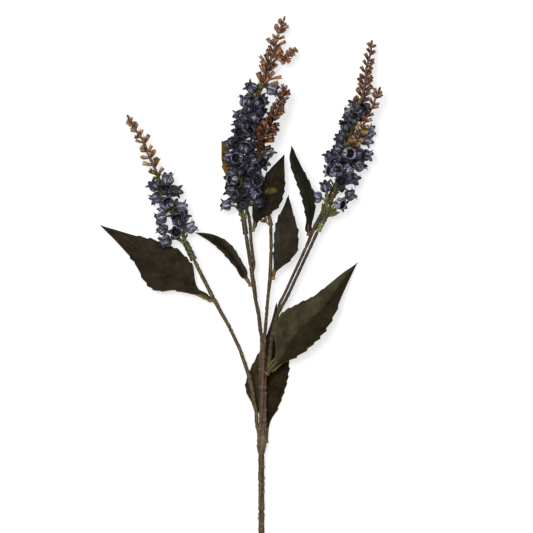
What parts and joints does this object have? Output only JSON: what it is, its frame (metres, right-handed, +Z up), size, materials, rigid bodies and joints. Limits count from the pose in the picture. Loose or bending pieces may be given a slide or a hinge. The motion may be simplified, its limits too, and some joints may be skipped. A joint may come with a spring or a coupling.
{
  "type": "bellflower stem",
  "caption": "Cut bellflower stem lying flat: forked taupe stems carry dense spikes of dark blue bell flowers with copper budded tips, and dark pointed toothed leaves.",
  "frame": {"origin": "centre of the bounding box on the surface that the stem lies on", "axes": "+Y along the stem from its cut end to its tip, +X to the right of the stem seen from above, +Z up from the surface"},
  "size_m": [0.3532, 0.658, 0.0434],
  "materials": {
    "stem": "taupe brown wrapped stem with olive patches",
    "axis": "olive green flower stalks",
    "bell": "dusty dark blue petals, lighter on the ribs",
    "bud": "copper brown buds, satin",
    "leaf": "dark brown-green leaf with veins and ochre edge",
    "leaf_ochre": "ochre leaf"
  },
  "bodies": {
    "root": {"back_leaf": "leaf_ochre", "centre_back_branch": "stem", "centre_branch": "stem", "centre_leaf": "leaf", "centre_left_leaf": "leaf", "centre_right_branch": "stem", "centre_right_leaf": "leaf", "centre_spike_axis": "axis", "centre_spike_flowers_1": "bell", "centre_spike_flowers_10": "bell", "centre_spike_flowers_11": "bell", "centre_spike_flowers_12": "bell", "centre_spike_flowers_13": "bell", "centre_spike_flowers_14": "bell", "centre_spike_flowers_2": "bell", "centre_spike_flowers_3": "bell", "centre_spike_flowers_4": "bell", "centre_spike_flowers_5": "bell", "centre_spike_flowers_6": "bell", "centre_spike_flowers_7": "bell", "centre_spike_flowers_8": "bell", "centre_spike_flowers_9": "bell", "centre_tip": "bud", "front_spike_axis": "axis", "front_spike_flowers_1": "bell", "front_spike_flowers_2": "bell", "front_tip": "bud", "left_branch": "stem", "left_leaf": "leaf", "left_spike_axis": "axis", "left_spike_flowers_1": "bell", "left_spike_flowers_2": "bell", "left_spike_flowers_3": "bell", "left_spike_flowers_4": "bell", "left_spike_flowers_5": "bell", "left_spike_flowers_6": "bell", "left_spike_flowers_7": "bell", "left_spike_flowers_8": "bell", "left_tip": "bud", "lower_leaf": "leaf", "main_stem": "stem", "right_back_branch": "stem", "right_branch": "stem", "right_leaf": "leaf", "right_side_spike_axis": "axis", "right_side_spike_flowers_1": "bell", "right_side_spike_flowers_2": "bell", "right_side_spike_flowers_3": "bell", "right_side_tip": "bud", "right_spike_axis": "axis", "right_spike_flowers_1": "bell", "right_spike_flowers_2": "bell", "right_spike_flowers_3": "bell", "right_spike_flowers_4": "bell", "right_spike_flowers_5": "bell", "right_spike_flowers_6": "bell", "right_spike_flowers_7": "bell", "right_spike_flowers_8": "bell", "right_tip": "bud", "right_upper_leaf": "leaf"}
  },
  "joints": []
}
